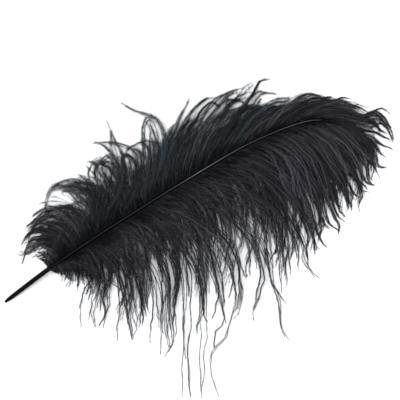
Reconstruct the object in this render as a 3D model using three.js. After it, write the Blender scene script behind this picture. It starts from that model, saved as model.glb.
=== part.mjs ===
// A dyed black ostrich wing plume, lying on its underside as it comes to rest when it is put down.
// It has one shaft, the bare quill that runs on into the rachis, and a vane of loose barbs on either side.
// Units are millimetres. +X runs from the quill's end to the tip, +Y to the upper vane, +Z up from the surface.
// The shape is laid out from the quill's end, and the whole plume is then moved so that the origin is in the
// middle of its box, on the surface that it lies on.
import * as THREE from "three";

// Shaft: points of its centreline, each with its height above the surface and its diameter there.
const SHAFT_STATIONS = [
  { x: 0, y: 0, z: 1.7, across: 3.4 },
  { x: 12, y: 1.2, z: 3.4, across: 4.2 },
  { x: 50, y: 5, z: 10, across: 4.5 },
  { x: 85, y: 7, z: 15, across: 4.0 },
  { x: 130, y: 8.7, z: 19, across: 3.0 },
  { x: 200, y: 10, z: 21, across: 2.1 },
  { x: 262, y: 9.8, z: 19, across: 1.6 },
  { x: 300, y: 6.2, z: 16, across: 1.3 },
  { x: 330, y: 0.2, z: 12, across: 1.1 },
  { x: 346, y: -7, z: 9, across: 1.0 },
  { x: 356, y: -15, z: 7, across: 0.9 },
];
const SHAFT_SIDES = 10;
const SHAFT_STEPS = 56;
const SHAFT_UNDERSIDE = 0.86; // the underside is flatter than the rounded back: its share of the half height

// Vanes: where a barb springs from the shaft (mm along X), the directions in which it leaves the shaft and ends
// (degrees from +X), and how far it reaches (mm along the barb).
const UPPER_BARBS = [
  { at: 54, leaves: 114, ends: 140, reach: 26 },
  { at: 66, leaves: 104, ends: 190, reach: 50 },
  { at: 85, leaves: 98, ends: 184, reach: 66 },
  { at: 110, leaves: 88, ends: 166, reach: 72 },
  { at: 140, leaves: 76, ends: 122, reach: 76 },
  { at: 170, leaves: 64, ends: 92, reach: 88 },
  { at: 200, leaves: 58, ends: 44, reach: 90 },
  { at: 230, leaves: 50, ends: 0, reach: 84 },
  { at: 262, leaves: 40, ends: -16, reach: 78 },
  { at: 296, leaves: 28, ends: -26, reach: 76 },
  { at: 325, leaves: 6, ends: -38, reach: 78 },
  { at: 344, leaves: -14, ends: -46, reach: 70 },
  { at: 355, leaves: -56, ends: -56, reach: 58 },
];
const LOWER_BARBS = [
  { at: 54, leaves: -48, ends: -118, reach: 30 },
  { at: 66, leaves: -44, ends: -124, reach: 64 },
  { at: 85, leaves: -40, ends: -126, reach: 88 },
  { at: 110, leaves: -36, ends: -124, reach: 120 },
  { at: 140, leaves: -32, ends: -123, reach: 156 },
  { at: 170, leaves: -31, ends: -123, reach: 190 },
  { at: 200, leaves: -31, ends: -123, reach: 206 },
  { at: 230, leaves: -31, ends: -118, reach: 176 },
  { at: 262, leaves: -31, ends: -116, reach: 142 },
  { at: 296, leaves: -32, ends: -112, reach: 116 },
  { at: 325, leaves: -40, ends: -102, reach: 96 },
  { at: 344, leaves: -50, ends: -88, reach: 78 },
  { at: 355, leaves: -56, ends: -56, reach: 58 },
];
const UPPER_BEND = 1.5; // the upper barbs stay straight and hook over near their ends
const LOWER_BEND = 0.5; // the lower barbs turn down soon after they leave the shaft, then hang straight
const VANE_GAP = 0.35; // clearance from a vane's root to the shaft, and from the tip's middle line
const VANE_THICKNESS = { root: 1.6, middle: 2.6, tip: 1.2 };
const ARCH_HEIGHT = 24; // how far the longest barbs bow up between the shaft and the surface
const LONGEST_REACH = 206; // of the lower vane's barbs, which arch the most; shorter barbs arch in proportion
const FLAT_SHARE = 0.86; // past this share of its reach a barb lies along the surface
const LOCK_STEPS = [1, 0.95, 0.86, 0.93]; // the reach across one lock of barbs, as shares of the full reach
const LOCKS = 12; // locks of barbs along each vane
const BARB_STEPS = 9;
const DIRECTION_STEPS = 4; // steps in which the turn of a barb is followed between two of its rows
const HALVINGS = 30; // times the shaft is halved to find the place where it passes a distance along X

const DYED_KERATIN = new THREE.MeshStandardMaterial({ color: 0x1c1c1e, roughness: 0.45, metalness: 0 });
const DYED_DOWN = new THREE.MeshStandardMaterial({ color: 0x17181a, roughness: 0.85, metalness: 0 });

const shaftCurve = new THREE.CatmullRomCurve3(
  SHAFT_STATIONS.map((s) => new THREE.Vector3(s.x, s.y, s.z)),
  false,
  "centripetal",
);

// The value of one key of a table of rows at a place between them, in a straight line from row to row.
function between(rows, placeKey, key, place) {
  const last = rows.length - 1;
  let i = 0;
  while (i < last - 1 && rows[i + 1][placeKey] < place) {
    i += 1;
  }
  const span = rows[i + 1][placeKey] - rows[i][placeKey];
  const share = THREE.MathUtils.clamp((place - rows[i][placeKey]) / span, 0, 1);
  return THREE.MathUtils.lerp(rows[i][key], rows[i + 1][key], share);
}

// The shaft's centreline where it passes a place along X, with its direction seen from above.
function shaftAt(x) {
  let low = 0;
  let high = 1;
  for (let i = 0; i < HALVINGS; i += 1) {
    const middle = (low + high) / 2;
    if (shaftCurve.getPoint(middle).x < x) {
      low = middle;
    } else {
      high = middle;
    }
  }
  return { centre: shaftCurve.getPoint(low), along: shaftCurve.getTangent(low) };
}

// The shaft is a tapering round rod: a unit cylinder whose rings are set across the centreline.
function makeShaft() {
  const geometry = new THREE.CylinderGeometry(1, 1, 1, SHAFT_SIDES, SHAFT_STEPS);
  const corners = geometry.getAttribute("position");
  const up = new THREE.Vector3(0, 0, 1);
  for (let i = 0; i < corners.count; i += 1) {
    const share = corners.getY(i) + 0.5;
    const centre = shaftCurve.getPoint(share);
    const along = shaftCurve.getTangent(share);
    const side = new THREE.Vector3().crossVectors(along, up).normalize();
    const over = new THREE.Vector3().crossVectors(side, along);
    const radius = between(SHAFT_STATIONS, "x", "across", centre.x) / 2;
    const height = corners.getZ(i) < 0 ? radius * SHAFT_UNDERSIDE : radius;
    centre.addScaledVector(side, corners.getX(i) * radius);
    centre.addScaledVector(over, corners.getZ(i) * height);
    corners.setXYZ(i, centre.x, centre.y, Math.max(centre.z, 0));
  }
  return geometry;
}

// A point of a vane's sheet: place is mm along the shaft, share is how far out along the barb.
function vanePoint(rows, bend, side, place, share, onTop) {
  const { centre, along } = shaftAt(place);
  const acrossLength = Math.hypot(along.x, along.y);
  const clear = between(SHAFT_STATIONS, "x", "across", place) / 2 + VANE_GAP;
  let x = centre.x - ((side * along.y) / acrossLength) * clear;
  let y = centre.y + ((side * along.x) / acrossLength) * clear;
  const leaves = between(rows, "at", "leaves", place);
  const ends = between(rows, "at", "ends", place);
  const lock = ((place - rows[0].at) / (rows.at(-1).at - rows[0].at)) * LOCKS * LOCK_STEPS.length;
  const reach = between(rows, "at", "reach", place) * LOCK_STEPS[Math.round(lock) % LOCK_STEPS.length];
  const steps = Math.round(share * BARB_STEPS * DIRECTION_STEPS);
  const step = (reach * share) / Math.max(steps, 1);
  for (let i = 0; i < steps; i += 1) {
    const reached = ((i + 0.5) / Math.max(steps, 1)) * share;
    const turn = bend > 1 ? reached ** bend : 1 - (1 - reached) ** (1 / bend);
    const direction = THREE.MathUtils.degToRad(THREE.MathUtils.lerp(leaves, ends, turn));
    x += Math.cos(direction) * step;
    y += Math.sin(direction) * step;
  }
  const outward = Math.min(share / FLAT_SHARE, 1);
  const { root, middle, tip } = VANE_THICKNESS;
  const thickness = outward < 0.5
    ? THREE.MathUtils.lerp(root, middle, outward * 2)
    : THREE.MathUtils.lerp(middle, tip, outward * 2 - 1);
  const fall = 1 - THREE.MathUtils.smoothstep(outward, 0, 1);
  const arch = ARCH_HEIGHT * (reach / LONGEST_REACH) * Math.sin(Math.PI * outward);
  const underside = Math.max((centre.z - root / 2) * fall + arch, 0);
  return new THREE.Vector3(x, y, underside + (onTop ? thickness : 0));
}

// A vane is a thin sheet arched over the surface: a flat box whose corners are carried along the barbs.
function makeVane(rows, bend, side) {
  const lockRows = LOCKS * LOCK_STEPS.length;
  const geometry = new THREE.BoxGeometry(1, 1, 1, lockRows, BARB_STEPS, 1);
  const corners = geometry.getAttribute("position");
  const first = rows[0].at;
  const length = rows.at(-1).at - first;
  for (let i = 0; i < corners.count; i += 1) {
    const place = first + (0.5 + side * corners.getX(i)) * length;
    const point = vanePoint(rows, bend, side, place, corners.getY(i) + 0.5, corners.getZ(i) > 0);
    corners.setXYZ(i, point.x, point.y, point.z);
  }
  return geometry;
}

function addPiece(group, name, geometry, material) {
  geometry.computeVertexNormals();
  const piece = new THREE.Mesh(geometry, material);
  piece.name = name;
  group.add(piece);
}

const plume = new THREE.Group();
addPiece(plume, "shaft", makeShaft(), DYED_KERATIN);
addPiece(plume, "vane_upper", makeVane(UPPER_BARBS, UPPER_BEND, 1), DYED_DOWN);
addPiece(plume, "vane_lower", makeVane(LOWER_BARBS, LOWER_BEND, -1), DYED_DOWN);

const box = new THREE.Box3().setFromObject(plume);
const middle = box.getCenter(new THREE.Vector3());
plume.position.set(-middle.x, -middle.y, -box.min.z);

export default plume;
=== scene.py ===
# A dyed black ostrich wing plume lying on a pale table top, seen from straight above.
# Lengths are millimetres where a name or comment says so, and metres once a shape is laid in the frame.
import math

import bpy
import numpy as np
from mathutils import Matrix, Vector


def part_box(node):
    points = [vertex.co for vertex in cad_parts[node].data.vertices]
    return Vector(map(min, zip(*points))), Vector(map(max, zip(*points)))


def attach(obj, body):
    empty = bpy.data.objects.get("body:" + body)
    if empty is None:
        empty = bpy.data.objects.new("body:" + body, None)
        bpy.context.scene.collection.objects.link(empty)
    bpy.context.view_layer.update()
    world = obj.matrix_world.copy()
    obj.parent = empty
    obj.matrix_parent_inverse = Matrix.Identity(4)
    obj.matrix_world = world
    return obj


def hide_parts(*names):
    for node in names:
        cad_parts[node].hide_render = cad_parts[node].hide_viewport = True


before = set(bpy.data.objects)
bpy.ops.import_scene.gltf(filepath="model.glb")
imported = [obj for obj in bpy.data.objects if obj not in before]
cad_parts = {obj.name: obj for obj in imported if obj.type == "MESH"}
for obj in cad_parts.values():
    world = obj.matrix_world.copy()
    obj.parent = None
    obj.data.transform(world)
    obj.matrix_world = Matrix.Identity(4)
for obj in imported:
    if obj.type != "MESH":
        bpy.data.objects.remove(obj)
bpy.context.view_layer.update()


# ---- The view ----
# The plume lies flat and the camera looks straight down on it, turned so that the shaft rises to the
# right of the picture, as it does when the plume is held out by its quill.
MM = 0.001
HELD_SLOPE = math.radians(31)  # the shaft's slope while it is held, from level
QUILL_RIM = 0.29 * MM  # how far the tilted rim of the quill's end stands behind its centre
SHAFT_BOW = 11.17 * MM  # how far the shaft's edge bows out to +Y from the quill's end

shaft_low, shaft_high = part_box("shaft")
quill_end = np.array([shaft_low.x + QUILL_RIM, shaft_high.y - SHAFT_BOW])


def along_shaft(points):
    """Points in mm right of and above the quill's end, as held, turned to the frame's own axes."""
    right, up = np.asarray(points, float).T
    along = right * math.cos(HELD_SLOPE) + up * math.sin(HELD_SLOPE)
    across = up * math.cos(HELD_SLOPE) - right * math.sin(HELD_SLOPE)
    return np.stack([along, across], -1)


def held(right, up):
    """The place in the frame of a point given in mm right of and above the quill's end, as held."""
    return quill_end + along_shaft((right, up)) * MM


PICTURE_SPAN = 376 * MM  # the width of table that the picture takes in
PICTURE_MIDDLE = held(185.2, 96.8)
LENS, SENSOR = 85.0, 36.0
LAYER_HEIGHT = 12 * MM  # the barbs' mean height, where the span is measured


def put_in_scene(name, data):
    """A new object that holds this mesh, lamp or camera."""
    thing = bpy.data.objects.new(name, data)
    bpy.context.scene.collection.objects.link(thing)
    return thing


camera_data = bpy.data.cameras.new("camera")
camera_data.lens = LENS
camera_data.sensor_width = SENSOR
camera = put_in_scene("camera", camera_data)
camera.location = (*PICTURE_MIDDLE, PICTURE_SPAN * LENS / SENSOR + LAYER_HEIGHT)
camera.rotation_euler = (0, 0, -HELD_SLOPE)
bpy.context.scene.camera = camera


# ---- Table top and studio light ----
# A plain pale table top in a pale room, under two large round soft boxes, so that the table shows bright
# between the barbs and their shadows stay faint.
TABLE_WIDTH = 8.0  # m
SOFT_BOXES = [
    # name, place as held in mm, height in m, width in m, power in W
    ("key_box", (-150, 420), 1.5, 1.0, 34),
    ("fill_box", (480, -160), 1.7, 1.4, 18),
]
ROOM_LIGHT = 0.42  # strength of the light from all round


def linear(hex_colour):
    """A linear RGBA colour from an sRGB hex value such as "1b1c1f"."""
    parts = [int(hex_colour[i : i + 2], 16) / 255 for i in (0, 2, 4)]
    return [c / 12.92 if c <= 0.04045 else ((c + 0.055) / 1.055) ** 2.4 for c in parts] + [1.0]


def add_node(tree, kind, links=(), **settings):
    """Adds a shader node of a kind, sets it or its sockets by name, and links (socket, output) pairs."""
    node = tree.nodes.new("ShaderNode" + kind)
    for name, value in settings.items():
        if hasattr(node, name):
            setattr(node, name, value)
        else:
            node.inputs[name.replace("_", " ")].default_value = value
    for socket, output in links:
        tree.links.new(output, node.inputs[socket])
    return node


def new_material(name):
    """A node material, its empty tree, and the surface socket of its output."""
    material = bpy.data.materials.new(name)
    material.use_nodes = True
    tree = material.node_tree
    tree.nodes.clear()
    return material, tree, add_node(tree, "OutputMaterial").inputs["Surface"]


def painted_board():
    """Smooth board painted a pale grey: matt, so it gives back soft light evenly and without a glare."""
    material, tree, surface = new_material("pale_painted_board")
    board = add_node(
        tree, "BsdfPrincipled", Base_Color=linear("cdcecf"), Roughness=0.9, Specular_IOR_Level=0.1
    )
    tree.links.new(board.outputs[0], surface)
    return material


table = bpy.data.meshes.new("table_top")
half = TABLE_WIDTH / 2
table_corners = [(-half, -half, 0), (half, -half, 0), (half, half, 0), (-half, half, 0)]
table.from_pydata(table_corners, [], [(0, 1, 2, 3)])
table.materials.append(painted_board())
table_top = put_in_scene("table_top", table)

for name, place, height, width, power in SOFT_BOXES:
    lamp = bpy.data.lights.new(name, "AREA")
    lamp.shape = "DISK"
    lamp.size = width
    lamp.energy = power
    box = put_in_scene(name, lamp)
    box.location = (*held(*place), height)
    towards = Vector((*PICTURE_MIDDLE, 0)) - box.location
    box.rotation_euler = towards.to_track_quat("-Z", "Y").to_euler()

room = bpy.data.worlds.new("room")
room.use_nodes = True
room.node_tree.nodes["Background"].inputs["Color"].default_value = linear("fbfcfd")
room.node_tree.nodes["Background"].inputs["Strength"].default_value = ROOM_LIGHT
bpy.context.scene.world = room
bpy.context.scene.view_settings.view_transform = "Standard"


# ---- Shaft: the quill and the rachis ----
# One grown rod of keratin. The bare quill is round, and its end tapers in to a small hole. Past the
# first barbs it becomes the rachis: round on the back, grooved underneath, and thinning to a point.
SHAFT_STATIONS = np.array([  # mm from the quill's end along X and Y, height of the centre, diameter
    (0, 0, 1.7, 3.3),
    (12, 1.2, 3.4, 4.2),
    (50, 5, 10, 4.5),
    (85, 7, 15, 4.0),
    (130, 8.7, 19, 3.0),
    (200, 10, 21, 2.1),
    (262, 9.8, 19, 1.6),
    (300, 6.2, 16, 1.3),
    (330, 0.2, 12, 1.0),
    (346, -7, 9, 0.8),
    (356, -15, 7, 0.5),
])
SHAFT_RINGS = 260
SHAFT_SIDES = 28
FIRST_BARBS = 52  # mm: where the quill ends and the rachis begins
GROOVE_DEPTH, GROOVE_WIDTH = 0.34, 0.42  # of the radius, on the rachis's underside
GROOVE_RUN = 25  # mm over which the groove deepens from the first barbs on
RACHIS_HEIGHT = 1.12  # its height to its width
QUILL_POINT = 9  # mm over which the quill narrows to its end
POINT_WIDTH = 0.72  # the end's width to the quill's
HOLE_WIDTH, HOLE_DEPTH = 0.34, 0.8  # of the end's width, and of the length of the first three rings
CURVE_STEPS = 40  # points worked out between two rows of a smoothed table
RIDGE_FROM, RIDGE_TO = -60 * MM, 140 * MM  # X in the frame
# Shares of the way from RIDGE_FROM (black) to RIDGE_TO (white), and how grey the painted highlight on
# the shaft's ridge is there
RIDGE_HIGHLIGHT_GREYS = [
    (0.15, "262626"), (0.3, "727272"), (0.4, "c9c9c9"), (0.52, "aeaeae"),
    (0.65, "8a8a8a"), (0.8, "909090"), (0.9, "e0e0e0"),
]


def distances(line):
    """How far along a line of points each of them is."""
    return np.concatenate([[0], np.cumsum(np.linalg.norm(np.diff(line, axis=0), axis=1))])


def follow(places, run, rows):
    """The values of rows at these places along their run."""
    return np.stack([np.interp(places, run, values) for values in rows.T], -1)


def smooth_rows(rows, count):
    """Evenly spaced points along a Catmull-Rom curve through rows."""
    ends = np.vstack([2 * rows[0] - rows[1], rows, 2 * rows[-1] - rows[-2]])
    places = np.linspace(0, len(rows) - 1, CURVE_STEPS * len(rows))
    i = np.minimum(places.astype(int), len(rows) - 2)
    t = (places - i)[:, None]
    a, b, c, d = ends[i], ends[i + 1], ends[i + 2], ends[i + 3]
    bend, twist = 2 * a - 5 * b + 4 * c - d, 3 * b - a - 3 * c + d
    curve = 0.5 * (2 * b + (c - a) * t + bend * t**2 + twist * t**3)
    run = distances(curve[:, :3])
    return follow(np.linspace(0, run[-1], count), run, curve)


def unit(vectors):
    """The same vectors, one unit long."""
    return vectors / np.maximum(np.linalg.norm(vectors, axis=-1, keepdims=True), 1e-12)


def cross_frames(paths):
    """The directions along, to the side of and over each point of paths of shape (..., points, 3)."""
    along = unit(np.gradient(paths, axis=-2))
    side = unit(np.cross(along, (0.0, 0.0, 1.0)))
    return along, side, np.cross(side, along)


def rings_about(paths, aside, above):
    """Rings of corners about paths, from how far each corner stands to the side of and over its path."""
    centre, (_, side, over) = paths[..., None, :], cross_frames(paths)
    return centre + side[..., None, :] * aside[..., None] + over[..., None, :] * above[..., None]


def mesh_piece(name, material, corners, triangles, places=None):
    """A smooth mesh object from corners (m), triangles and, if given, the corners' map places."""
    mesh = bpy.data.meshes.new(name)
    mesh.vertices.add(len(corners))
    mesh.vertices.foreach_set("co", corners.astype(np.float32).ravel())
    mesh.loops.add(triangles.size)
    mesh.loops.foreach_set("vertex_index", triangles.astype(np.int32).ravel())
    mesh.polygons.add(len(triangles))
    mesh.polygons.foreach_set("loop_start", np.arange(len(triangles), dtype=np.int32) * 3)
    mesh.polygons.foreach_set("use_smooth", np.ones(len(triangles), bool))
    if places is not None:
        layer = mesh.uv_layers.new(name="OFBake")
        layer.uv.foreach_set("vector", places[triangles.ravel()].astype(np.float32).ravel())
    mesh.update(calc_edges=True)
    mesh.materials.append(material)
    return put_in_scene(name, mesh)


def in_frame(points):
    """Points in mm from the quill's end, in metres in the frame."""
    return points * MM + np.array([*quill_end, 0.0])


def ring_triangles(rings, sides):
    """The triangles that join rings of corners into a tube, with corner numbers ring by ring."""
    ring, spoke = np.meshgrid(np.arange(rings - 1), np.arange(sides), indexing="ij")
    here = ring * sides + spoke
    beside = ring * sides + (spoke + 1) % sides
    return np.concatenate([
        np.stack([here, here + sides, beside], -1).reshape(-1, 3),
        np.stack([beside, here + sides, beside + sides], -1).reshape(-1, 3),
    ])


# Settings of a Mix node that multiplies its colour 6 by its colour 7, as far as its factor 0 says
MULTIPLY = {"data_type": "RGBA", "blend_type": "MULTIPLY"}


def dyed_keratin():
    """Dyed horny keratin, grown smooth: satin and black on the quill, with a fine lengthwise grain. A
    thin grey line along the rachis's back, where it faces straight up, is a painted highlight, strongest
    near the tip."""
    material, tree, surface = new_material("dyed_keratin_satin")
    place = add_node(tree, "TexCoord")
    apart = add_node(tree, "SeparateXYZ", [("Vector", place.outputs["Object"])])
    span = add_node(
        tree, "MapRange", [("Value", apart.outputs["X"])], From_Min=RIDGE_FROM, From_Max=RIDGE_TO
    )
    run = add_node(tree, "ValToRGB", [("Fac", span.outputs["Result"])])
    for spot, shade in RIDGE_HIGHLIGHT_GREYS:
        run.color_ramp.elements.new(spot).color = linear(shade)
    # Streaks 12 mm long and 0.5 mm across, coarser than the real grain so that they show.
    grain_place = add_node(
        tree, "Mapping", [("Vector", place.outputs["Object"])], Scale=(1 / 12, 1 / 0.5, 1 / 0.5)
    )
    grain = add_node(
        tree, "TexNoise", [("Vector", grain_place.outputs[0])], Scale=1 / MM, Detail=3.0, Roughness=0.6
    )
    facing = add_node(tree, "SeparateXYZ", [("Vector", place.outputs["Normal"])])
    # The ridge is where the shaft's back faces nearly straight up, and a grey highlight is painted on it
    # there.
    ridge = add_node(tree, "MapRange", [("Value", facing.outputs["Z"])], From_Min=0.72, From_Max=1.0)
    painted_highlight = add_node(
        tree, "Math", [(0, run.outputs["Color"]), (1, ridge.outputs["Result"])], operation="MULTIPLY"
    )
    # The painted highlight mixes the black towards grey along the upward-facing ridge.
    tone = add_node(tree, "Mix", [("Factor", painted_highlight.outputs[0])], data_type="RGBA")
    tone.inputs[6].default_value = linear("040405")
    tone.inputs[7].default_value = linear("74737a")
    grained = add_node(tree, "Mix", [(0, grain.outputs["Fac"]), (6, tone.outputs[2])], **MULTIPLY)
    grained.inputs[7].default_value = linear("9a9aa0")
    bump = add_node(tree, "Bump", [("Height", grain.outputs["Fac"])], Strength=0.25, Distance=0.2 * MM)
    keratin = add_node(
        tree,
        "BsdfPrincipled",
        [("Base Color", grained.outputs[2]), ("Normal", bump.outputs[0])],
        Roughness=0.42,
        IOR=1.55,
        Specular_IOR_Level=0.06,
    )
    tree.links.new(keratin.outputs[0], surface)
    return material


def shaft_mesh():
    """Rings across the shaft: round on the quill, grooved underneath on the rachis, with closed ends."""
    line = smooth_rows(SHAFT_STATIONS, SHAFT_RINGS)
    along = line[:, 0]
    point = np.clip(along / QUILL_POINT, 0, 1)
    width = line[:, 3] / 2 * (POINT_WIDTH + (1 - POINT_WIDTH) * np.sin(point * math.pi / 2))
    rachis = np.clip((along - FIRST_BARBS) / GROOVE_RUN, 0, 1)
    turn = np.arange(SHAFT_SIDES) * 2 * math.pi / SHAFT_SIDES
    across, up = np.cos(turn), np.sin(turn)
    groove = GROOVE_DEPTH * np.exp(-((across / GROOVE_WIDTH) ** 2)) * (up < 0)
    height = (1 + (RACHIS_HEIGHT - 1) * rachis)[:, None] * (up + groove * rachis[:, None])
    rings = rings_about(line[:, :3], width[:, None] * across, width[:, None] * height)
    # The quill's end turns in to a small hole, and the rachis ends in a point.
    hole = line[0, :3] + (rings[0] - line[0, :3]) * HOLE_WIDTH
    bottom = hole + (line[3, :3] - line[0, :3]) * HOLE_DEPTH
    corners = np.concatenate([bottom.mean(0)[None], bottom, hole, rings.reshape(-1, 3), line[-1:, :3]])
    tube = ring_triangles(SHAFT_RINGS + 2, SHAFT_SIDES) + 1
    spoke = np.arange(SHAFT_SIDES)
    after = (spoke + 1) % SHAFT_SIDES
    last = 1 + (SHAFT_RINGS + 1) * SHAFT_SIDES
    start = np.stack([np.zeros_like(spoke), spoke + 1, after + 1], 1)
    tip = np.stack([np.full_like(spoke, len(corners) - 1), last + after, last + spoke], 1)
    return in_frame(corners), np.concatenate([tube, start, tip])


shaft_piece = mesh_piece("shaft_detail", dyed_keratin(), *shaft_mesh())
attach(shaft_piece, "root")
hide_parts("shaft")


# ---- Upper vane ----
# Loose barbs that grow from the shaft's upper edge. Each is a thin horny thread with soft barbules down
# both sides. They don't hook to the next barb, so the barbs stand apart, and only cling in loose locks.
BARB_POINTS = 22
VANE_FROM, VANE_TO = 53, 356  # mm along the shaft: where the first and the last barbs spring
LOCK_PITCH = 7.5  # mm along the shaft from one lock to the next
LOCK_FORKS = 3
GUIDE_POINTS, GUIDE_REACH = 60, 1.4  # points of a lock's middle line, and its length to the lock's
LONERS = 0.1  # the share of the barbs that hardly follow their lock
RIPPLE, RIPPLE_LENGTH = 5, 22  # degrees that a barb turns to and fro, and over how many mm
CRIMP_LENGTH = 13  # mm over which the free end of a crimped lock swings to and fro
HOOK_FROM, HOOK_TURN = 0.74, 0.26  # share of a barb past which its end hooks over, and within which
LEAN_FROM, LEAN_TURN, LEAN = 0.5, 0.2, 0.35  # the same for its lean back before that, and its size
UPPER_BEND = 0.6  # below 1, so that the barbs turn mostly near their ends
LIES_FLAT = 0.94  # past this share of its length a barb lies on the table
BOWS_FULLY = 150  # mm: the length of a barb that bows up by its full arch
TIP_CROWD, QUILL_CROWD = 0.7, 0.9  # how much closer together the barbs spring at the two ends
FIRST_BARBULES = 4.5  # mm from the shaft
FEWEST_BARBULES = 6
CLEAR_OF_TABLE = 0.25  # mm, at least, from the table up to a thread's middle line
THREAD_LOW, BLADE_LOW, BLADE_TIP_LOW = 0.05, 0.06, 0.12  # mm: the least heights of their corners
THREAD_SHEEN_PALER, FUZZ_DARKER = 0.34, 0.08  # a thread is paler, a painted sheen, and its fuzz darker, than the barb's tone
TONE_LIMITS = (0.02, 0.98)  # of the map's 0 (black) to 1 (palest)
MAP_EDGE = 0.004  # half the width of a thread or a barbule on the map
UPPER_ROWS = np.array([
    # mm along the shaft, directions in which a barb leaves it and ends (degrees from level, as held), mm
    # long, degrees by which its end hooks, and how loosely its barbules stand (0 to 1)
    (54, 118, 156, 13, 0, 0.3),
    (60, 116, 190, 21, 0, 0.3),
    (66, 114, 212, 34, 0, 0.3),
    (76, 110, 236, 56, 0, 0.4),
    (88, 106, 228, 62, 0, 0.6),
    (100, 104, 208, 64, 0, 0.8),
    (112, 102, 185, 62, 0, 0.9),
    (125, 100, 160, 60, 0, 1.0),
    (140, 98, 130, 57, 0, 1.0),
    (155, 96, 105, 54, 0, 1.0),
    (170, 94, 85, 56, 0, 1.0),
    (185, 92, 55, 67, 0, 0.9),
    (200, 90, 20, 81, 0, 0.8),
    (215, 84, 5, 88, 0, 0.7),
    (230, 78, 0, 86, 0, 0.6),
    (246, 72, 0, 74, 0, 0.4),
    (262, 66, 5, 66, 0, 0.3),
    (280, 60, 5, 61, 0, 0.2),
    (296, 54, 0, 60, 0, 0.2),
    (312, 46, -12, 63, -10, 0.2),
    (325, 42, -22, 56, -20, 0.2),
    (335, 35, -28, 50, -30, 0.2),
    (344, 26, -32, 47, -40, 0.2),
    (350, 16, -34, 45, -40, 0.2),
    (356, -4, -36, 44, -40, 0.2),
])
rng = np.random.default_rng(7)
shaft_line = smooth_rows(SHAFT_STATIONS, 400)


def on_shaft(along):
    """The shaft's centre at these distances along X."""
    return follow(along, shaft_line[:, 0], shaft_line[:, :3])


def column(values):
    """The values as a column, a row for each barb."""
    return np.reshape(values, (-1, 1))


def ease(x):
    """A smooth step: 0 up to x = 0, 1 from x = 1."""
    x = np.clip(x, 0, 1)
    return x * x * (3 - 2 * x)


def grow(rows, along, t, bend, reach, ends, wave, wave_length, phase, hook=1.0):
    """Paths in plan (mm) and lengths of barbs that spring at along. They turn from their first direction
    to their last, early for a bend above 1 and late for one below. Ends and wave are in degrees."""
    leaves, last, length, hooks = (column(np.interp(along, rows[:, 0], kind)) for kind in rows.T[1:5])
    length = length * column(reach)
    inside = np.clip(t, 0, 1)
    turn = 1 - (1 - inside) ** bend if bend > 1 else inside ** (2 - bend)
    waves = t * length / column(wave_length) + column(phase)
    wander = column(wave) * ease(t / 0.6) * np.sin(2 * math.pi * waves)
    ripples = t * length / RIPPLE_LENGTH + 7 * column(phase)
    wander = wander + RIPPLE * ease(t / 0.3) * np.sin(2 * math.pi * ripples)
    over = ease((inside - HOOK_FROM) / HOOK_TURN) - LEAN * ease((inside - LEAN_FROM) / LEAN_TURN)
    direction = leaves + (last + column(ends) - leaves) * turn + wander + hooks * column(hook) * over
    direction = np.radians(direction) - HELD_SLOPE
    middle = (direction[:, 1:] + direction[:, :-1]) / 2
    run = np.stack([np.cos(middle), np.sin(middle)], -1) * (length * np.diff(t))[..., None]
    run = np.concatenate([np.zeros_like(run[:, :1]), np.cumsum(run, 1)], 1)
    return on_shaft(along)[:, None, :2] + run, length[:, 0]


def crowd(first, last, count):
    """Places along the shaft, closer together up to 130 mm and, where the barbs fan out, past 260 mm."""
    place = np.linspace(first, last, 400)
    thick = TIP_CROWD * ease((place - 260) / 70) + QUILL_CROWD * (1 - ease((place - 70) / 60))
    weight = np.cumsum(1 + thick)
    return np.interp(np.linspace(weight[0], weight[-1], count), weight, place)


def heights(along, length, t, arch, depth, layer, sunk=0.2):
    """Heights of barbs at t: down from the shaft, up over their arch, and on the table at their ends."""
    root = column(on_shaft(along)[..., 2] - sunk)
    out = np.minimum(t / LIES_FLAT, 1)
    bulk = np.sin(math.pi * out) ** 0.75 * np.sqrt(column(length) / BOWS_FULLY) * ease(t / 0.15)
    return root * (1 - ease(out)) + (arch + depth * column(layer)) * bulk


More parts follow.
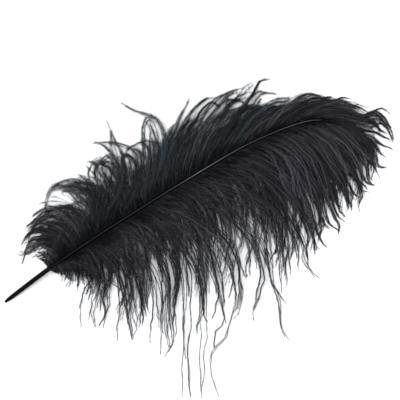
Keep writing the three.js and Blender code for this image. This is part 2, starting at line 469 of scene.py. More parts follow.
def vane(
    rows, bend, count, arch, depth, first=VANE_FROM, last=VANE_TO,
    short=1.0, cling=0.95, under=False, stray=7,
):
    """Paths (mm), lengths, places along the shaft, looseness and paleness of the barbs of one side, the
    paleness with painted light and shade by layer. They bow up by arch and lie apart in height by depth
    (mm), and their ends stray by stray (degrees)."""
    t = np.linspace(0, 1, BARB_POINTS)
    far = np.linspace(0, GUIDE_REACH, GUIDE_POINTS)
    along = np.sort(np.clip(crowd(first, last, count) + rng.normal(0, 0.6, count), first, last))

    # The locks, each with a middle line that its barbs cling to.
    locks = int((last - first) / LOCK_PITCH)
    lock_along = crowd(first, last, locks) + rng.normal(0, LOCK_PITCH * 0.25, locks)
    lock_along = np.sort(np.clip(lock_along, first, last))
    joins_at = along[:, None] + rng.normal(0, LOCK_PITCH * 0.35, (count, 1))
    lock = np.abs(joins_at - lock_along).argmin(1)
    lock_reach = 1 + rng.normal(0, 0.08, locks)
    guide, guide_length = grow(
        rows, lock_along, far, bend, lock_reach,
        ends=rng.normal(0, 5, locks),
        wave=rng.normal(0, 15, locks),
        wave_length=rng.uniform(30, 65, locks),
        phase=rng.uniform(0, 1, locks),
        hook=rng.uniform(0.6, 1.4, locks),
    )
    normal = cross_frames(np.concatenate([guide, np.zeros_like(guide[..., :1])], -1))[1][..., :2]

    # Each barb's own path, as if it were in no lock.
    reach = short * np.clip(lock_reach[lock] * (0.97 + rng.normal(0, 0.15, count)), 0.5, 1.14)
    own, length = grow(
        rows, along, t, bend, reach,
        ends=rng.normal(0, stray, count),
        wave=rng.normal(0, 10, count),
        wave_length=rng.uniform(35, 90, count),
        phase=rng.uniform(0, 1, count),
    )

    # A barb meets its lock's middle line at the same distance from the shaft, not at the same share.
    share = np.clip(t * column(length / guide_length[lock]), 0, GUIDE_REACH) / GUIDE_REACH
    share = share * (GUIDE_POINTS - 1)
    low = np.minimum(share.astype(int), GUIDE_POINTS - 2)
    part = (share - low)[..., None]
    row = lock[:, None]
    led = guide[row, low] * (1 - part) + guide[row, low + 1] * part
    # In its outer half a lock forks, by 2.6 mm or so.
    fork = rng.normal(0, 2.6, (locks, LOCK_FORKS))[lock, rng.integers(0, LOCK_FORKS, count)]
    led = led + normal[row, low] * (column(fork) * np.clip((t - 0.5) / 0.5, 0, 1) ** 1.3)[..., None]
    # Each barb is drawn to its lock from 0.45 of its length on.
    loner = rng.uniform(0, 1, count) < LONERS
    hold = np.where(loner, 0.3, rng.uniform(0.85, 1.0, count))
    hold = cling * hold[:, None] * ease((t - 0.45) / 0.5)
    plan = own + (led - own) * hold[..., None]
    plan = plan + rng.normal(0, 0.6, (count, 1, 2)) * t[:, None]

    # The barbs lie in layers, from -1 at the bottom to about 1. Those on top are painted paler and those
    # lower down darker, a painted light and shade, on top of a random tone for each lock.
    layer = rng.uniform(-1, -0.2, count) if under else rng.uniform(-0.5, 0.9, count)
    layer = layer + rng.normal(0, 0.3, locks)[lock]
    pale = 0.7 * (layer - layer.mean()) + rng.normal(0, 0.27, locks)[lock]
    height = heights(along, length, t, arch, depth, layer, sunk=1.6 if under else 0.4)
    height = height + column(rng.uniform(0, 1.6, count)) * t
    loose = np.interp(along, rows[:, 0], rows[:, 5]) * rng.uniform(0.5, 1.1, count)
    return np.concatenate([plan, height[..., None]], -1), length, along, loose, pale


def strands(table, rows, arch, depth, spread=2.2, crimp=0.0):
    """Barbs in locks that run through the places of a table: the same five arrays as a vane's."""
    t = np.linspace(0, 1, BARB_POINTS)
    found = []
    for start, barbs, loose, *points in table:
        pale = rng.normal(0, 0.15)
        through = along_shaft(points)
        root = on_shaft(start)[:2]
        # A curved lead-in leaves the shaft as its barbs do there, and runs on into the places.
        leaves = math.radians(np.interp(start, rows[:, 0], rows[:, 1])) - HELD_SLOPE
        span = np.linalg.norm(through[0] - root)
        free = np.linalg.norm(np.diff(through, axis=0), axis=1).sum()
        set_off = np.array([math.cos(leaves), math.sin(leaves)]) * span
        arrive = unit(through[1] - through[0]) * span
        u = np.linspace(0, 1, 6)[:-1, None]
        lead_in = (
            (1 + 2 * u) * (1 - u) ** 2 * root + u * (1 - u) ** 2 * set_off
            + u * u * (3 - 2 * u) * through[0] - u * u * (1 - u) * arrive
        )
        line = np.concatenate([lead_in, through])
        line = smooth_rows(np.column_stack([line, np.zeros(len(line))]), 120)[:, :2]
        run = distances(line)
        normal = unit(np.gradient(line, axis=0))[:, ::-1] * (1, -1)
        for k in range(barbs):
            # The first barb reaches the lock's last place, and the others may end well short of it.
            reach = run[-1] - (0 if k == 0 else rng.uniform(0, 0.4)) * free
            place = start + rng.normal(0, spread)
            # How far to the side of the lock's middle line it runs, in mm: a bow, a wave and the crimp.
            side = rng.normal(0, 1.2) * (np.sin(math.pi * t) ** 0.7 * (1.6 - t) + 0.3 * t)
            wave = rng.normal(0, 0.5)
            waves = t * rng.uniform(2, 5) + rng.uniform(0, 2)
            side = side + wave * np.sin(math.pi * waves)
            swing = np.sin(2 * math.pi * t * reach / CRIMP_LENGTH + start)
            side = side + crimp * ease((t - 0.6) / 0.25) * swing
            plan = follow(t * reach, run, line) + (on_shaft(place)[:2] - root) * column((1 - t) ** 2)
            plan = plan + follow(t * reach, run, normal) * column(side * ease(t / 0.2))
            up = heights(place, reach, t, arch, depth, layer=rng.uniform(-0.4, 1.0))[0]
            path = np.column_stack([plan, up + rng.uniform(0, 1.5) * t])
            found.append((path, reach, place, loose * rng.uniform(0.8, 1.1), pale))
    return tuple(np.array(values) for values in zip(*found))


def tube_meshes(paths, half_width, tone):
    """Three-sided threads along paths, broad underneath and ridged on top, with their map places."""
    count, points = paths.shape[:2]
    t = np.linspace(0, 1, points)
    # A thread's three edges: how far to the side and how far over, in half widths.
    aside, above = half_width[..., None] * (-1.0, 1.0, 0.0), half_width[..., None] * (-0.12, -0.12, 0.5)
    rings = rings_about(paths, aside, above)[:, :-1]
    rings[..., 2] = np.maximum(rings[..., 2], THREAD_LOW)
    per_barb = (points - 1) * 3 + 1
    corners = np.concatenate([rings.reshape(count, -1, 3), paths[:, -1:]], 1).reshape(-1, 3)
    base = (points - 2) * 3
    ends = np.array([[0, 1, 2]] + [[base + k, per_barb - 1, base + (k + 1) % 3] for k in range(3)])
    pattern = np.concatenate([ring_triangles(points - 1, 3), ends])
    triangles = (pattern[None] + (np.arange(count) * per_barb)[:, None, None]).reshape(-1, 3)
    run = np.append(np.repeat(t[:-1], 3), 1.0)
    edge = np.append(np.tile([-MAP_EDGE, MAP_EDGE, 0.0], points - 1), 0.0)
    places = np.stack([np.tile(run, count), (tone[:, None] + edge).ravel()], 1)
    return corners, triangles, places


def barb_meshes(
    paths, length, loose, tone,
    per_mm, width, barbule, reach=1.0, step=1, end=0.42, outward=0.68, root=0.35,
):
    """Corners, triangles and map places (share of a barb's length, and its tone) of the threads of these
    barbs and their barbules. Each barbule is a keeled blade with its foot in the thread."""
    paths = paths[:, ::step].copy()
    count, points = paths.shape[:2]
    t = np.linspace(0, 1, points)
    loose = column(loose)
    taper = np.interp(t, [0, 0.06, 0.4, 0.9, 1], [root, 1, 0.75, end, 0.15])
    # A thread thins where its barbules stand loose.
    half_width = width / 2 * taper * (1 - 0.6 * loose * ease((t - 0.3) / 0.4))
    paths[..., 2] = np.maximum(paths[..., 2], CLEAR_OF_TABLE + half_width * 0.3)
    # A thread's tone is raised by a painted sheen.
    thread_tone = np.clip(tone + THREAD_SHEEN_PALER, *TONE_LIMITS)
    corners, triangles, places = tube_meshes(paths, half_width, thread_tone)

    # Barbules splay out where the barb stands free, and lie close along it near the shaft and in a lock.
    each = np.maximum((length * per_mm).astype(int), FEWEST_BARBULES)
    barb = np.repeat(np.arange(count), each)
    number = len(barb)
    spot = np.maximum(rng.uniform(0, 0.995, number) ** outward, FIRST_BARBULES / length[barb])
    share = spot * (points - 1)
    low = np.minimum(share.astype(int), points - 2)
    part = (share - low)[:, None]
    along, side, over = cross_frames(paths)

    def there(values):
        return values[barb, low] * (1 - part) + values[barb, low + 1] * part

    foot, ahead, aside, above = there(paths), unit(there(along)), unit(there(side)), unit(there(over))
    free = loose[barb, 0] * np.clip((spot - 0.15) / 0.4, 0, 1)
    # They splay by 10 to 26 degrees, and by up to 70 where the barb stands free.
    splay = np.radians(rng.uniform(10, 26, number) + free * rng.uniform(16, 44, number))[:, None]
    hand = rng.choice([-1.0, 1.0], number)[:, None]
    tilt = rng.normal(0, 0.8, number)[:, None]
    blade = ahead * np.cos(splay) + np.sin(splay) * (aside * hand * np.cos(tilt) + above * np.sin(tilt))
    # In mm, and less towards the barb's end.
    long = reach * rng.uniform(2.6, 5.2, number) * (1 - 0.35 * spot**2)
    wide = barbule * (1 - 0.45 * spot) * (1 - 0.4 * free)
    across = unit(np.cross(blade, above))
    thick = np.cross(across, blade)
    tip = foot + blade * long[:, None]
    tip[:, 2] = np.maximum(tip[:, 2], BLADE_TIP_LOW)
    wide = wide[:, None]
    keel = foot + thick * wide * 0.35
    blades = np.stack([foot - across * wide / 2, foot + across * wide / 2, keel, tip], 1)
    blades[..., 2] = np.maximum(blades[..., 2], BLADE_LOW)
    faces = np.array([[1, 2, 3], [2, 0, 3]])
    more = (faces[None] + (np.arange(number) * 4)[:, None, None]).reshape(-1, 3) + len(corners)
    barb_tone = np.clip(tone - FUZZ_DARKER, *TONE_LIMITS)[barb]
    near, far = spot + MAP_EDGE, np.minimum(spot + 0.02, 1)
    dark, light = barb_tone - MAP_EDGE, barb_tone + MAP_EDGE
    more_places = np.stack([spot, dark, spot, light, near, barb_tone, far, barb_tone], 1).reshape(-1, 2)
    return (
        np.concatenate([corners, blades.reshape(-1, 3)]),
        np.concatenate([triangles, more]),
        np.concatenate([places, more_places]),
    )


def dyed_down(name, palest):
    """Dyed feather down: thin keratin threads soaked in black dye, matt from their fuzz with a faint
    silky gloss. Their roots are painted darker, a painted shade deep in the plume, and their thinner
    ends look greyer. The tone of each barb is partly its own dye, which no two have taken alike, and
    partly painted light and shade."""
    material, tree, surface = new_material(name)
    place = add_node(tree, "UVMap", uv_map="OFBake")
    apart = add_node(tree, "SeparateXYZ", [("Vector", place.outputs[0])])
    # Along a barb: darker at its root, a painted shade where the roots lie under the other barbs, and
    # greyer towards its thinner end.
    run = add_node(tree, "ValToRGB", [("Fac", apart.outputs["X"])])
    run.color_ramp.elements[0].color = linear("4a4a4c")
    run.color_ramp.elements.new(0.45).color = linear("bcbcbe")
    run.color_ramp.elements.new(0.75).color = linear("e6e6e8")
    dye = add_node(tree, "ValToRGB", [("Fac", apart.outputs["Y"])])
    dye.color_ramp.elements[0].color = linear("060608")
    dye.color_ramp.elements[1].color = linear(palest)
    tone_with_root_shade = add_node(tree, "Mix", [(6, dye.outputs["Color"]), (7, run.outputs["Color"])], **MULTIPLY)
    tone_with_root_shade.inputs[0].default_value = 1.0
    # Barbs of nearly one tone still fall on different spots of this noise, which sets tint and gloss.
    barb = add_node(
        tree, "TexNoise", [("W", apart.outputs["Y"])], noise_dimensions="1D", Scale=60.0, Detail=0.0
    )
    tint = add_node(tree, "Mix", [(0, barb.outputs["Fac"]), (6, tone_with_root_shade.outputs[2])], **MULTIPLY)
    tint.inputs[7].default_value = linear("76787a")
    gloss = add_node(
        tree, "MapRange", [("Value", barb.outputs["Fac"])],
        From_Min=0.3, From_Max=0.7, To_Min=0.62, To_Max=0.36,
    )
    # The fuzz's bumps come about 90 to a barb, coarser than the real ones so that they show.
    fuzz_place = add_node(tree, "Mapping", [("Vector", place.outputs[0])], Scale=(1, 12, 1))
    fuzz = add_node(tree, "TexNoise", [("Vector", fuzz_place.outputs[0])], Scale=90.0, Detail=2.0)
    bump = add_node(tree, "Bump", [("Height", fuzz.outputs["Fac"])], Strength=0.2, Distance=0.1 * MM)
    down = add_node(
        tree,
        "BsdfPrincipled",
        [("Base Color", tint.outputs[2]), ("Roughness", gloss.outputs[0]), ("Normal", bump.outputs[0])],
        IOR=1.5,
        Specular_IOR_Level=0.12,
    )
    tree.links.new(down.outputs[0], surface)
    return material


DOWN = dyed_down("dyed_down_silky", "6e6e76")
# The thin wisps' palest is tinted blue-green, a painted tint of cool light reflected from the room.
THIN_DOWN = dyed_down("dyed_down_thin", "53646a")


def barb_piece(name, node, material, *groups):
    """One mesh of joined barbs, from groups of (paths, lengths, looseness, tones, make)."""
    # A group without barbs on this stretch of the shaft is left out.
    parts = [barb_meshes(*barbs, **make) for *barbs, make in groups if len(barbs[0])]
    corners, triangles, places = zip(*parts)
    shift = np.cumsum([0] + [len(part) for part in corners])
    piece = mesh_piece(
        name,
        material,
        in_frame(np.concatenate(corners)),
        np.concatenate([part + start for part, start in zip(triangles, shift)]),
        np.concatenate(places),
    )
    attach(piece, "root")
    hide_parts(node)


# How much paler or darker than the mean the barbs are, by mm along the shaft
PALER_ALONG = [(60, -0.16), (110, -0.06), (170, 0.08), (220, 0.1), (270, -0.02), (356, -0.04)]
FEW_PAINTED_GLINTS = 0.9  # how much paler the palest few are than the rest: painted glints of barbs that catch the light
UNDER_PAINTED_SHADE = 0.3  # how much darker the filling barbs underneath are painted, a painted shade


def part_of(barbs, first, last, make, darker=0.0):
    """Paths, lengths, looseness, tones (0 to 1) and make of the barbs that spring between two places."""
    paths, length, along, loose, pale = barbs
    chosen = (along >= first) & (along < last)
    # darker is the painted shade given to barbs that lie underneath.
    tone = np.interp(along, *zip(*PALER_ALONG)) - darker + pale + rng.normal(0, 0.24, len(along))
    # A fifth power leaves only a few barbs pale, painted glints of barbs that catch the light, and its
    # mean is 1/6.
    tone = tone + FEW_PAINTED_GLINTS * (rng.uniform(0, 1, len(along)) ** 5 - 1 / 6)
    return paths[chosen], length[chosen], loose[chosen], np.clip(tone, *TONE_LIMITS)[chosen], make


# Barbules to the mm, and the widths in mm of a thread and a barbule. Some have the barbules' reach, how
# far out they crowd (farther for less), and the width of a thread's root or end to its full width.
# A step of 2 uses every second point of a path.
COVER = {"per_mm": 2.45, "width": 0.75, "barbule": 0.3}
FILL = {"per_mm": 0.9, "width": 2.8, "barbule": 0.8, "step": 2, "root": 0.9}
FRINGE = {"per_mm": 2.5, "width": 0.8, "barbule": 0.2, "end": 0.75, "outward": 0.45}
WISP = {"per_mm": 4.1, "width": 0.75, "barbule": 0.22, "reach": 1.2, "end": 0.8, "outward": 0.5}
UPPER_LOCKS = [
    # mm along the shaft where a lock springs, its barbs, its looseness, and the places that it runs
    # through, in mm right of and above the quill's end, as held
    (55, 3, 0.3, (46, 52), (41, 49), (38, 44)),
    (56, 3, 0.3, (44, 55), (38, 53), (32, 50)),
    (57, 3, 0.3, (46, 57), (37, 56), (31, 53), (25, 49), (23, 46)),
    (58, 3, 0.3, (49, 61), (37, 59), (29, 58), (24, 58)),
    (60, 4, 0.3, (49, 66), (37, 64), (28, 61), (24, 59), (21, 54), (18, 50), (17, 44), (15, 37)),
    (61, 4, 0.3, (47, 66), (37, 63), (26, 61), (23, 55), (19, 50)),
    (63, 4, 0.3, (52, 71), (40, 69), (30, 68), (24, 65), (20, 61)),
    (66, 4, 0.3, (54, 76), (42, 75), (33, 71), (25, 69), (21, 68)),
    (70, 4, 0.3, (58, 83), (44, 81), (37, 79), (29, 73), (24, 70)),
    (75, 5, 0.3, (63, 89), (49, 86), (40, 84), (33, 80), (25, 74), (19, 70)),
    (83, 4, 0.4, (77, 97), (65, 94), (54, 91), (46, 88), (40, 86)),
    (266, 6, 0.3, (265, 183), (275, 189), (285, 195), (293, 197), (300, 195), (305, 192)),
    (272, 4, 0.9, (270, 189), (279, 195), (287, 198), (291, 199)),
    (280, 7, 0.2, (279, 187), (290, 193), (300, 194), (307, 191), (315, 188)),
    (292, 4, 0.2, (296, 189), (304, 194), (310, 195), (314, 193)),
    (296, 7, 0.2, (307, 188), (315, 185), (321, 187), (326, 183), (330, 179)),
    (300, 3, 0.2, (304, 186), (315, 193), (321, 195), (328, 194)),
    (312, 5, 0.1, (317, 183), (326, 179), (334, 176), (340, 175), (345, 178), (354, 183), (358, 184),
        (363, 182), (366, 179)),
    (316, 4, 0.1, (322, 180), (331, 178), (339, 178), (346, 181), (352, 182), (358, 179), (363, 174)),
    (320, 7, 0.1, (326, 178), (334, 175), (340, 174), (346, 178), (350, 179), (355, 177), (361, 172),
        (365, 166), (368, 160), (369, 155)),
    (326, 4, 0.1, (342, 176), (350, 179), (357, 174), (363, 169), (367, 167)),
    (328, 6, 0.1, (331, 173), (339, 171), (347, 174), (353, 173), (359, 169), (364, 163), (368, 157),
        (369, 152)),
    (334, 5, 0.1, (336, 167), (343, 165), (351, 167), (356, 170), (362, 165), (365, 164)),
    (337, 6, 0.1, (340, 172), (346, 171), (352, 167), (357, 163), (363, 160)),
    (340, 6, 0.1, (336, 162), (345, 161), (352, 160), (360, 156), (366, 154)),
    (346, 6, 0.1, (337, 158), (345, 157), (352, 153), (359, 149), (365, 147), (368, 145)),
    (350, 6, 0.1, (340, 156), (347, 151), (353, 145), (358, 140), (362, 137)),
    (352, 4, 0.1, (343, 156), (352, 150), (356, 145), (358, 141)),
]
WISPS = [  # the same, for the loops and long curls that stand free of the upper edge
    (104, 5, 1.0, (80, 113), (68, 116), (56, 115), (46, 109), (42, 104), (39, 97), (38, 89), (37, 84)),
    (98, 2, 0.7, (80, 108), (78, 115), (74, 119), (69, 121)),
    (100, 2, 0.8, (84, 112), (80, 117), (79, 124), (82, 129)),
    (103, 2, 0.8, (88, 113), (85, 122), (86, 129), (91, 131)),
    (107, 2, 0.8, (92, 114), (90, 124), (87, 131), (83, 134), (78, 134)),
    (111, 2, 0.8, (97, 116), (98, 126), (95, 133), (89, 136), (84, 133), (82, 127)),
    (114, 2, 0.7, (101, 118), (103, 128), (101, 136), (95, 140)),
    (98, 4, 0.7, (82, 106), (72, 108), (63, 110), (54, 109), (45, 107)),
    (101, 4, 0.8, (86, 111), (77, 113), (65, 113), (55, 111)),
    (96, 3, 0.8, (80, 104), (72, 106), (63, 106), (54, 104)),
    (94, 2, 1.0, (77, 106), (71, 104), (68, 101), (66, 97)),
    (106, 3, 0.8, (95, 116), (89, 123), (87, 127)),
    (110, 3, 0.8, (99, 114), (94, 123), (92, 129), (95, 132)),
    (115, 3, 0.8, (105, 116), (99, 125), (97, 130)),
    (119, 3, 0.8, (108, 120), (103, 129), (96, 132), (88, 131), (82, 130)),
    (122, 3, 0.8, (110, 130), (106, 136), (101, 139), (95, 136), (90, 132), (86, 127), (85, 121),
        (83, 116)),
    (124, 3, 0.8, (110, 116), (110, 125), (107, 132), (101, 131)),
    (127, 3, 0.8, (108, 132), (103, 139), (99, 144), (95, 148), (89, 151), (83, 151)),
    (128, 2, 0.9, (106, 134), (102, 144), (101, 153), (101, 163)),
    (130, 3, 0.8, (117, 116), (115, 127), (111, 134), (108, 139)),
    (131, 3, 0.9, (112, 136), (110, 144), (106, 150), (102, 160), (100, 166), (96, 173)),
    (136, 3, 0.8, (122, 120), (119, 132), (116, 138), (111, 141)),
    (140, 3, 0.8, (124, 134), (122, 141), (117, 146), (112, 148), (105, 150), (99, 151), (91, 151),
        (84, 151)),
    (142, 2, 0.8, (124, 134), (119, 139), (114, 138), (111, 132)),
    (147, 2, 0.8, (129, 134), (125, 142), (121, 144)),
    (144, 4, 0.8, (125, 125), (122, 134), (116, 140), (110, 141)),
    (150, 4, 0.8, (131, 126), (130, 137), (126, 144), (120, 146)),
    (157, 4, 0.8, (138, 130), (137, 141), (134, 149), (128, 152)),
    (161, 4, 0.8, (143, 136), (142, 147), (140, 156)),
    (166, 3, 0.7, (149, 142), (150, 152), (152, 160)),
    (152, 2, 0.8, (134, 134), (132, 153), (131, 163), (132, 168)),
    (156, 2, 0.8, (138, 134), (138, 153), (138, 163), (135, 169), (132, 172)),
    (163, 3, 0.8, (146, 134), (146, 144), (143, 153), (140, 163), (138, 170), (138, 175)),
    (165, 3, 0.9, (148, 144), (145, 150), (138, 153), (131, 153), (124, 150), (118, 147), (114, 142),
        (111, 136)),
    (168, 3, 0.7, (151, 148), (150, 158), (148, 165), (145, 171), (140, 175), (135, 175), (132, 171),
        (130, 164), (130, 153), (131, 144), (132, 137)),
    (170, 4, 0.9, (152, 156), (150, 163), (148, 168), (143, 174), (136, 177), (131, 179), (126, 180),
        (120, 183), (115, 186), (110, 189)),
    (172, 2, 0.8, (148, 134), (150, 148), (154, 158), (158, 165), (161, 168)),
    (175, 3, 0.8, (150, 144), (157, 153), (162, 163), (165, 170)),
    (178, 4, 0.9, (154, 151), (159, 161), (164, 169), (166, 175), (169, 181), (173, 188), (175, 193)),
    (184, 4, 0.7, (160, 150), (166, 160), (172, 168), (177, 173)),
    (188, 4, 0.7, (166, 152), (172, 162), (179, 170), (185, 175)),
    (192, 4, 0.7, (172, 158), (178, 168), (184, 176), (190, 181)),
    (196, 5, 0.8, (176, 179), (182, 186), (189, 192), (195, 194), (200, 194)),
    (200, 4, 0.7, (180, 167), (185, 179), (192, 187), (197, 190), (202, 187), (204, 184)),
    (205, 3, 0.8, (190, 177), (196, 187), (202, 193), (208, 196), (213, 199), (221, 202), (227, 203)),
    (208, 2, 0.7, (202, 190), (208, 196), (211, 197), (211, 193), (210, 188), (207, 183)),
    (212, 3, 0.7, (199, 179), (209, 190), (218, 192), (226, 192), (229, 194)),
    (214, 3, 0.9, (203, 184), (210, 193), (217, 198), (224, 200)),
    (218, 4, 0.7, (206, 174), (211, 185), (216, 190), (223, 191), (228, 188), (231, 183)),
    (222, 2, 0.8, (219, 191), (225, 197), (228, 203), (232, 206), (235, 208)),
    (224, 3, 0.9, (212, 184), (219, 193), (226, 198), (233, 200)),
    (230, 6, 0.5, (223, 181), (230, 190), (235, 197), (238, 203), (241, 209), (244, 211), (251, 212)),
    (236, 3, 0.9, (226, 184), (232, 192), (237, 198), (243, 201), (248, 200)),
    (240, 3, 0.9, (232, 183), (237, 191), (241, 196), (245, 199), (251, 199), (258, 198)),
    (244, 3, 1.0, (237, 183), (241, 188), (243, 193)),
    (250, 3, 0.9, (243, 183), (249, 188), (256, 192), (263, 194), (271, 194)),
    (254, 3, 0.6, (251, 185), (258, 189), (265, 190), (270, 192)),
]

upper = vane(UPPER_ROWS, UPPER_BEND, 440, arch=11, depth=9)
upper_under = vane(UPPER_ROWS, UPPER_BEND, 240, arch=8, depth=6, short=0.7, cling=0.1, under=True)
upper_locks = strands(UPPER_LOCKS, UPPER_ROWS, arch=11, depth=9)
wisps = strands(WISPS, UPPER_ROWS, arch=12, depth=9, spread=4)
curls = vane(
    UPPER_ROWS, UPPER_BEND, 52, arch=12, depth=9, first=84, last=250, short=0.8, cling=0.0, stray=25
)
# The vane is split along the shaft (mm) into meshes of a fair size.
for name, first, last in (("upper_barbs_quill_end", 0, 200), ("upper_barbs_tip_end", 200, 400)):
    barb_piece(
        name,
        "vane_upper",
        DOWN,
        part_of(upper, first, last, COVER),
        part_of(upper_under, first, last, FILL, UNDER_PAINTED_SHADE),
        part_of(upper_locks, first, last, FRINGE),
    )
barb_piece(
    "upper_wisps", "vane_upper", THIN_DOWN, part_of(wisps, 0, 400, WISP), part_of(curls, 0, 400, WISP)
)


# ---- Lower vane ----
# The longer barbs of the shaft's lower edge, grown as the upper ones are. They leave it at a low slope,
# turn over and run straight out in locks, and their ends lie along the table.
LOWER_BEND = 2.2  # above 1, so that the barbs turn soon after they leave the shaft
LOWER_ROWS = np.array([  # as for the upper vane
    (54, -12, -50, 10, 0, 0.2),
    (60, -14, -75, 14, 0, 0.2),
    (66, -14, -92, 21, 0, 0.2),
    (76, -12, -98, 36, 0, 0.2),
    (88, -8, -98, 56, 0, 0.2),
    (100, -4, -96, 74, 0, 0.3),
    (112, 0, -94, 84, 0, 0.4),
    (130, 0, -93, 91, 0, 0.5),
    (150, 0, -92, 96, 0, 0.5),
    (170, 0, -92, 100, 0, 0.5),
    (190, 0, -92, 104, 0, 0.5),
    (210, 0, -91, 108, 0, 0.5),
    (230, 0, -88, 111, 0, 0.45),
    (250, 0, -86, 113, -10, 0.35),
    (270, 0, -82, 113, -20, 0.25),
    (290, -2, -77, 106, -30, 0.1),
    (305, -5, -72, 102, -40, 0.1),
    (320, -9, -64, 91, -45, 0.1),
    (335, -13, -56, 76, -45, 0.1),
    (345, -22, -49, 66, -45, 0.1),
    (352, -32, -44, 57, -45, 0.1),
    (356, -40, -38, 51, -45, 0.1),
])
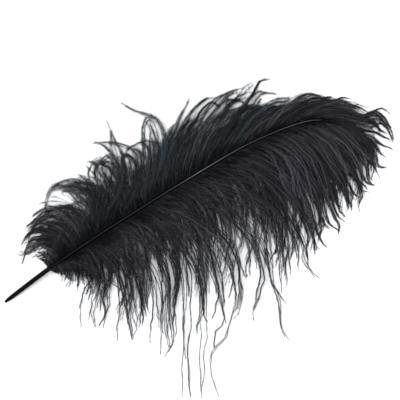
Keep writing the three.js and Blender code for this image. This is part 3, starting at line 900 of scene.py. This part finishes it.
LOWER_LOCKS = [  # as for the upper vane
    (58, 2, 0.2, (59, 30), (62, 25), (65, 21)),
    (60, 2, 0.2, (63, 33), (67, 26), (69, 21)),
    (64, 3, 0.2, (69, 31), (70, 24), (69, 17), (68, 11)),
    (66, 3, 0.2, (72, 36), (82, 30), (88, 24), (93, 18), (97, 14)),
    (72, 3, 0.2, (86, 34), (94, 30), (101, 23), (106, 17), (111, 12)),
    (70, 2, 0.2, (84, 23), (78, 16), (74, 7), (71, -3), (70, -10), (71, -17), (72, -24)),
    (74, 2, 0.2, (89, 16), (86, 8), (84, 1), (83, -7), (83, -14), (85, -24)),
    (74, 1, 0.2, (89, 16), (84, 3), (80, -8), (78, -17)),
    (75, 2, 0.2, (87, 23), (89, 16), (91, 10), (94, -4), (95, -12), (94, -25)),
    (80, 2, 0.2, (94, 18), (98, 10), (99, 3), (99, -7), (96, -13), (90, -23)),
    (88, 2, 0.2, (108, 20), (109, 0), (109, -9), (107, -18), (106, -27), (107, -37)),
    (91, 3, 0.2, (112, 18), (115, 3), (116, -9), (117, -18), (118, -27)),
    (94, 3, 0.2, (116, 18), (118, 3), (118, -9), (119, -18), (120, -27), (121, -35)),
    (96, 2, 0.2, (118, 16), (120, -2), (122, -14), (124, -24)),
    (98, 2, 0.2, (121, 20), (122, 12), (123, 3), (125, -8), (126, -21), (125, -26), (122, -33),
        (121, -36)),
    (101, 3, 0.2, (124, 20), (126, 12), (129, 0), (128, -11), (127, -24)),
    (104, 2, 0.2, (129, 17), (131, 5), (130, -5), (132, -14), (130, -24)),
    (105, 2, 0.2, (130, 12), (131, 3), (132, -7), (134, -14)),
    (108, 2, 0.2, (134, 20), (135, 12), (136, 0), (138, -11)),
    (110, 2, 0.2, (138, 17), (134, 1), (132, -7)),
    (111, 2, 0.2, (140, 20), (141, 12), (141, -2), (140, -14), (138, -25), (137, -39)),
    (113, 2, 0.3, (145, 17), (146, 3), (146, -11), (147, -24)),
    (115, 2, 0.2, (148, 12), (149, -2), (148, -14), (149, -25), (149, -39), (148, -51)),
    (117, 3, 0.3, (151, 31), (150, 17), (150, 3), (150, -11), (150, -22)),
    (119, 3, 0.3, (154, 22), (154, 12), (154, -2), (153, -16), (153, -27), (155, -39), (156, -44)),
    (120, 2, 0.2, (155, 12), (155, -5), (157, -30), (157, -38), (155, -44), (150, -51)),
    (124, 3, 0.2, (159, 26), (160, 12), (159, -2), (160, -14), (161, -25), (161, -38), (159, -44),
        (155, -48)),
    (128, 3, 0.3, (166, 22), (164, 7), (161, -5), (160, -21)),
    (131, 2, 0.2, (168, 26), (169, 12), (169, -2), (168, -16), (169, -30), (170, -46), (171, -55)),
    (132, 1, 0.3, (169, 22), (170, -9), (170, -40), (169, -60), (169, -72), (169, -91)),
    (135, 4, 0.7, (173, 45), (174, 26), (175, 12), (175, 5)),
    (138, 2, 0.3, (178, 31), (179, 22), (178, 10), (177, -2), (178, -14), (178, -21), (176, -30),
        (174, -44), (174, -56), (175, -76), (176, -91)),
    (139, 2, 0.3, (180, 31), (181, 22), (180, 17), (181, 11)),
    (142, 4, 0.2, (183, 42), (184, 31), (186, 17), (187, 3), (188, -9), (187, -14)),
    (145, 3, 0.2, (189, 38), (190, 26), (190, 17), (188, 3), (188, -11)),
    (143, 2, 0.2, (187, 3), (186, -14), (183, -20), (182, -25), (183, -30)),
    (144, 2, 0.2, (188, 3), (188, -13), (192, -19)),
    (144, 2, 0.3, (188, 10), (188, -13), (189, -24), (190, -30), (188, -38), (187, -45), (187, -55),
        (188, -65), (187, -75), (186, -82), (187, -92)),
    (150, 3, 0.3, (195, 45), (197, 36), (199, 26), (202, 17), (203, 7)),
    (152, 2, 0.2, (202, 17), (203, 10), (201, 1), (199, -9), (197, -16)),
    (153, 2, 0.2, (203, 8), (205, -2), (207, -9), (208, -14), (206, -20), (201, -25), (199, -32),
        (198, -39), (198, -44)),
    (153, 1, 0.2, (203, 8), (207, -9), (208, -13), (210, -20)),
    (155, 3, 0.4, (204, 31), (206, 22), (207, 12), (208, 3), (208, -5)),
    (160, 3, 0.3, (211, 42), (214, 33), (216, 23), (218, 14), (219, 5)),
    (163, 2, 0.3, (218, 14), (219, 5), (217, -3), (215, -11), (212, -21), (211, -28), (208, -34),
        (202, -39), (197, -45), (195, -52), (195, -58), (195, -65), (197, -72), (200, -81), (203, -91)),
    (162, 2, 0.2, (216, 17), (214, 10), (213, 4)),
    (168, 3, 0.3, (218, 45), (221, 36), (222, 26), (224, 17), (225, 7), (223, -6), (220, -13),
        (217, -17)),
    (166, 3, 0.3, (222, 31), (221, 22), (222, 10), (221, 1), (219, -9)),
    (169, 2, 0.3, (224, 33), (226, 27), (229, 22)),
    (174, 3, 0.7, (232, 45), (232, 33), (233, 24)),
    (182, 3, 0.4, (240, 38), (242, 29), (241, 20), (239, 10), (238, 3), (237, -5)),
    (184, 3, 0.4, (243, 36), (245, 27), (246, 23), (244, 17), (242, 9), (240, 2), (237, -5), (235, -10),
        (235, -18)),
    (188, 4, 0.3, (247, 64), (248, 50), (250, 36), (251, 24)),
    (190, 3, 0.2, (250, 36), (251, 26), (252, 19), (255, 11), (258, 4), (260, -4), (261, -14),
        (262, -23), (265, -30), (269, -36)),
    (191, 2, 0.2, (251, 26), (253, 17), (258, 10), (262, 4), (266, -2)),
    (198, 3, 0.3, (260, 54), (261, 40), (261, 29), (262, 20), (263, 8)),
    (200, 4, 0.3, (262, 67), (263, 54), (265, 42), (265, 36), (264, 29)),
    (204, 4, 0.2, (267, 61), (268, 50), (266, 38), (266, 29), (268, 22), (268, 15)),
    (207, 2, 0.2, (269, 45), (270, 36), (271, 26)),
    (212, 3, 0.2, (271, 64), (273, 56), (273, 48), (271, 40)),
    (216, 3, 0.2, (273, 61), (276, 54), (278, 47), (278, 38), (279, 29)),
    (220, 2, 0.2, (276, 63), (280, 56), (282, 50), (281, 44), (284, 38), (289, 32), (293, 26),
        (298, 22)),
    (228, 4, 0.2, (272, 80), (277, 70), (281, 62), (283, 55)),
    (232, 3, 0.2, (282, 61), (285, 54), (287, 48), (288, 40), (289, 34)),
    (236, 5, 0.2, (278, 84), (283, 76), (286, 68), (288, 60), (287, 53)),
    (244, 5, 0.2, (283, 88), (288, 80), (291, 72), (293, 63)),
    (240, 3, 0.2, (288, 67), (289, 59), (287, 52), (288, 44), (290, 40)),
    (246, 2, 0.1, (292, 59), (291, 53), (289, 47)),
    (252, 5, 0.1, (289, 70), (292, 63), (294, 55), (295, 50), (299, 49)),
    (258, 5, 0.1, (292, 72), (293, 64), (294, 54), (294, 46)),
    (268, 6, 0.1, (294, 74), (296, 67), (299, 61), (303, 55), (305, 52)),
    (276, 5, 0.1, (300, 84), (301, 76), (301, 69), (299, 62), (298, 56)),
    (282, 5, 0.1, (298, 86), (301, 80), (304, 74), (309, 69)),
    (288, 5, 0.1, (301, 96), (304, 87), (306, 80), (310, 73), (317, 68)),
    (292, 6, 0.1, (296, 118), (301, 108), (306, 98), (309, 90)),
    (298, 7, 0.1, (303, 120), (309, 109), (314, 100), (318, 92)),
    (304, 7, 0.1, (310, 122), (317, 112), (322, 103), (324, 95)),
    (310, 7, 0.1, (316, 126), (323, 117), (328, 109), (331, 102)),
    (296, 7, 0.1, (305, 98), (309, 89), (312, 82), (316, 76), (318, 70), (317, 65)),
    (302, 6, 0.1, (309, 100), (311, 93), (314, 85), (318, 80), (322, 76)),
    (306, 5, 0.1, (312, 101), (315, 94), (318, 88), (321, 83), (323, 81)),
    (309, 4, 0.1, (313, 102), (315, 93), (319, 90), (322, 87)),
    (314, 7, 0.1, (319, 114), (323, 106), (325, 99), (326, 91), (324, 85)),
    (317, 4, 0.1, (323, 106), (326, 99), (329, 93), (329, 87)),
    (320, 6, 0.1, (321, 116), (326, 106), (330, 100), (334, 97)),
    (324, 6, 0.1, (323, 117), (328, 108), (332, 103), (336, 99)),
    (330, 5, 0.1, (332, 119), (336, 110), (338, 103), (337, 97), (336, 92), (336, 86)),
    (333, 4, 0.1, (330, 120), (336, 112), (339, 106), (346, 105)),
    (336, 6, 0.1, (332, 122), (337, 115), (342, 110), (345, 107)),
    (340, 6, 0.1, (336, 126), (341, 117), (345, 113), (349, 111)),
    (343, 7, 0.1, (337, 139), (341, 129), (344, 119), (346, 113), (351, 111)),
    (347, 6, 0.1, (341, 144), (344, 136), (345, 129), (346, 121), (350, 116)),
    (351, 4, 0.1, (345, 149), (347, 142), (348, 134), (347, 127)),
    (354, 6, 0.1, (343, 150), (348, 145), (351, 138), (353, 132), (357, 129), (363, 127)),
]
# How many short barbs fill out the vane underneath, their stretch of the shaft (mm), and how short.
UNDER_BARBS = [(125, VANE_FROM, 170, 0.64), (72, 170, 245, 0.7), (150, 245, VANE_TO, 0.85)]
lower = vane(LOWER_ROWS, LOWER_BEND, 440, arch=16, depth=9, stray=10)
lower_under = [
    vane(LOWER_ROWS, LOWER_BEND, count, 10, 6, first, last, short, cling=0.1, under=True)
    for count, first, last, short in UNDER_BARBS
]
lower_locks = strands(LOWER_LOCKS, LOWER_ROWS, arch=14, depth=9, crimp=0.5)
for name, first, last in (
    ("lower_barbs_quill_end", 0, 140),
    ("lower_barbs_middle", 140, 205),
    ("lower_barbs_far_middle", 205, 275),
    ("lower_barbs_tip_end", 275, 400),
):
    barb_piece(
        name,
        "vane_lower",
        DOWN,
        part_of(lower, first, last, COVER),
        *(part_of(barbs, first, last, FILL, UNDER_PAINTED_SHADE) for barbs in lower_under),
        part_of(lower_locks, first, last, FRINGE),
    )
